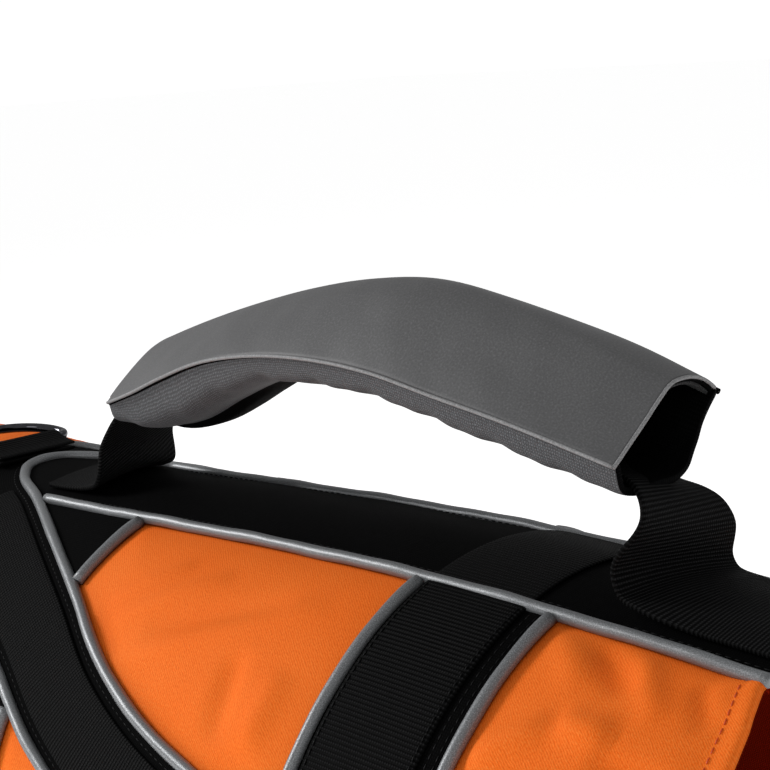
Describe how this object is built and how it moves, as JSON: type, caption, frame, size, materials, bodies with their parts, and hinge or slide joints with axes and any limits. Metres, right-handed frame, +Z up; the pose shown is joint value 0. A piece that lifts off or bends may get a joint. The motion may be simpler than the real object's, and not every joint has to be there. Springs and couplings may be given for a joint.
{
  "type": "dog life jacket",
  "caption": "Worn-form dog life jacket with foam side panels, webbing belts, a padded carry handle and a leash ring on the back.",
  "frame": {"origin": "inner face of the back, on the spine, under the middle of the carry handle, where the wearer's back holds the jacket up", "axes": "+X along the spine towards the tail, -X towards the neck, -Y the wearer's left side, +Z up"},
  "size_m": [0.485, 0.2426, 0.3557],
  "materials": {
    "orange_shell": "woven polyester, satin",
    "black_webbing": "ribbed polyester webbing, matte",
    "black_cloth": "woven nylon, matte",
    "reflective_piping": "reflective tape over cord, satin grey",
    "handle_smooth_grey": "smooth coated jersey on padding, satin",
    "handle_woven_grey": "woven oxford cloth, matte",
    "black_nickel_ring": "black nickel plated steel wire, glossy",
    "black_buckle": "moulded acetal, satin"
  },
  "bodies": {
    "garment": {"chest_buckle_prong_half": "black_buckle", "chest_buckle_socket": "black_buckle", "chest_strap_left": "black_webbing", "chest_strap_right": "black_webbing", "front_belt_band_left": "black_cloth", "front_belt_band_right": "black_cloth", "front_belt_piping_front_left": "reflective_piping", "front_belt_piping_front_right": "reflective_piping", "front_belt_piping_rear_left": "reflective_piping", "front_belt_piping_rear_right": "reflective_piping", "front_belt_upper_left": "black_cloth", "front_belt_upper_piping_left": "reflective_piping", "front_belt_upper_piping_right": "reflective_piping", "front_belt_upper_right": "black_cloth", "front_belt_webbing_left": "black_webbing", "front_belt_webbing_right": "black_webbing", "front_buckle_prong_half": "black_buckle", "front_buckle_socket": "black_buckle", "handle_cover_top": "handle_smooth_grey", "handle_cover_underside": "handle_woven_grey", "handle_webbing": "black_webbing", "leash_ring_tab": "black_webbing", "rear_belt_band_left": "black_cloth", "rear_belt_band_right": "black_cloth", "rear_belt_crossing": "black_webbing", "rear_belt_piping_front_left": "reflective_piping", "rear_belt_piping_front_right": "reflective_piping", "rear_belt_piping_rear_left": "reflective_piping", "rear_belt_piping_rear_right": "reflective_piping", "rear_belt_webbing_left": "black_webbing", "rear_belt_webbing_right": "black_webbing", "rear_buckle_prong_half": "black_buckle", "rear_buckle_socket": "black_buckle", "side_panel_left": "orange_shell", "side_panel_right": "orange_shell", "spine_band": "black_cloth", "spine_piping_left": "reflective_piping", "spine_piping_right": "reflective_piping", "yoke_band": "black_cloth", "yoke_piping_front": "reflective_piping", "yoke_piping_rear": "reflective_piping", "yoke_webbing_left": "black_webbing", "yoke_webbing_right": "black_webbing"},
    "leash_ring": {"leash_ring": "black_nickel_ring"}
  },
  "joints": [
    {"name": "leash_ring_swing", "type": "hinge", "parent": "garment", "child": "leash_ring", "pos_m": [-0.217, 0, 0.0145], "axis": [0, 1, 0], "range_deg": [0, 160]}
  ]
}
